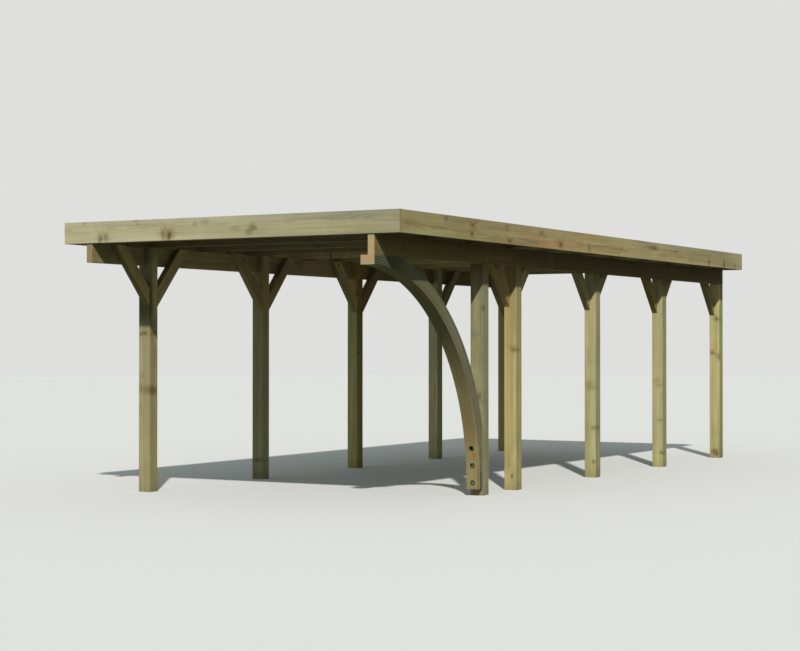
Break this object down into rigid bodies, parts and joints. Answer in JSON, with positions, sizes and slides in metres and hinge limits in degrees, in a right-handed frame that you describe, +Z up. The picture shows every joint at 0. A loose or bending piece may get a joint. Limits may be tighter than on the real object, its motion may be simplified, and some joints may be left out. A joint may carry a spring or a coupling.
{
  "type": "timber carport",
  "caption": "Flat-roofed open carport of treated softwood: square posts with knee braces, and a laminated arch in place of one front corner post.",
  "frame": {"origin": "on the ground under the middle of the roof", "axes": "+Y from the drive-in end to the back, +X to the arch's side, +Z up"},
  "size_m": [3.35, 8.057, 2.375],
  "materials": {
    "frame_timber": "matte",
    "fascia_timber": "matte",
    "laminated_timber": "matte",
    "coated_sheet": "satin",
    "screw_steel": "matte"
  },
  "bodies": {
    "root": {"brace_left_1_back": "frame_timber", "brace_left_1_front": "frame_timber", "brace_left_2_back": "frame_timber", "brace_left_2_front": "frame_timber", "brace_left_3_back": "frame_timber", "brace_left_3_front": "frame_timber", "brace_left_4_back": "frame_timber", "brace_left_4_front": "frame_timber", "brace_left_5_front": "frame_timber", "brace_right_2_back": "frame_timber", "brace_right_2_front": "frame_timber", "brace_right_3_back": "frame_timber", "brace_right_3_front": "frame_timber", "brace_right_4_back": "frame_timber", "brace_right_4_front": "frame_timber", "brace_right_5_front": "frame_timber", "post_arch": "frame_timber", "post_left_1": "frame_timber", "post_left_2": "frame_timber", "post_left_3": "frame_timber", "post_left_4": "frame_timber", "post_left_5": "frame_timber", "post_right_2": "frame_timber", "post_right_3": "frame_timber", "post_right_4": "frame_timber", "post_right_5": "frame_timber", "purlin_left_back": "frame_timber", "purlin_left_front": "frame_timber", "purlin_right_back": "frame_timber", "purlin_right_front": "frame_timber", "rafter_01": "frame_timber", "rafter_02": "frame_timber", "rafter_03": "frame_timber", "rafter_04": "frame_timber", "rafter_05": "frame_timber", "rafter_06": "frame_timber", "rafter_07": "frame_timber", "rafter_08": "frame_timber", "rafter_09": "frame_timber", "rafter_10": "frame_timber", "rafter_11": "frame_timber", "fascia_front": "fascia_timber", "fascia_back": "fascia_timber", "fascia_left": "fascia_timber", "fascia_right": "fascia_timber", "entry_arch": "laminated_timber", "roof_sheet": "coated_sheet"}
  },
  "joints": []
}
